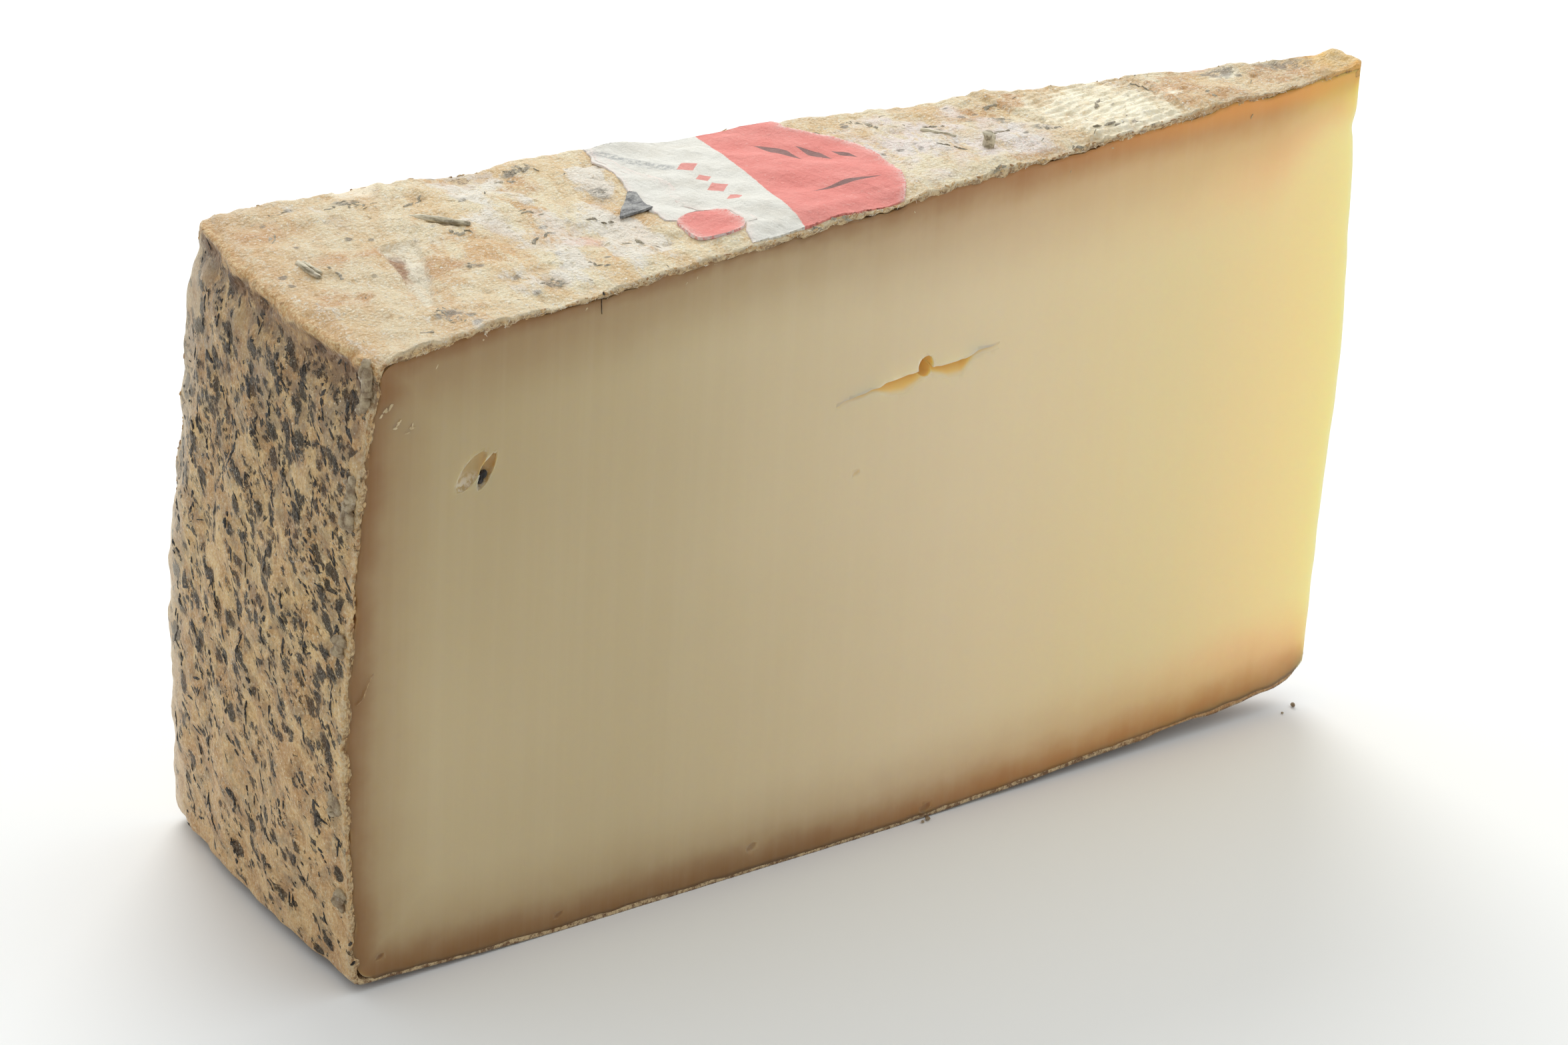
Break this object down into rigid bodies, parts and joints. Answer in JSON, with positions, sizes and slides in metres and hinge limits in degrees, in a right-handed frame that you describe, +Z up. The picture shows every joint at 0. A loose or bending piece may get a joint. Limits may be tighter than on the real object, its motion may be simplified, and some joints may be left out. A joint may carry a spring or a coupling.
{
  "type": "wedge of mountain cheese",
  "caption": "Tall narrow wedge of hard cheese with a herb-rubbed rind on its rim, top and underside, smooth cut faces with a slit and an eye, and a torn paper label on top.",
  "frame": {"origin": "on the floor, under the middle of the wedge's bounding box", "axes": "+Z up, +X from the rim to the tip, -Y out of the front cut face"},
  "size_m": [0.162, 0.0522, 0.0946],
  "materials": {
    "paste": "smooth waxy cut cheese, straw yellow, a little see-through at the thin tip",
    "rind": "dry uneven rind, tan and orange with white bloom",
    "herbs": "dry charcoal-green leaf slivers and stems",
    "label_paper": "crinkled matt paper, off-white with a coral-red field",
    "label_print": "matt coral-red print"
  },
  "bodies": {
    "root": {"cheese": "paste", "label": "label_paper", "label_scrap": "label_print"}
  },
  "joints": []
}
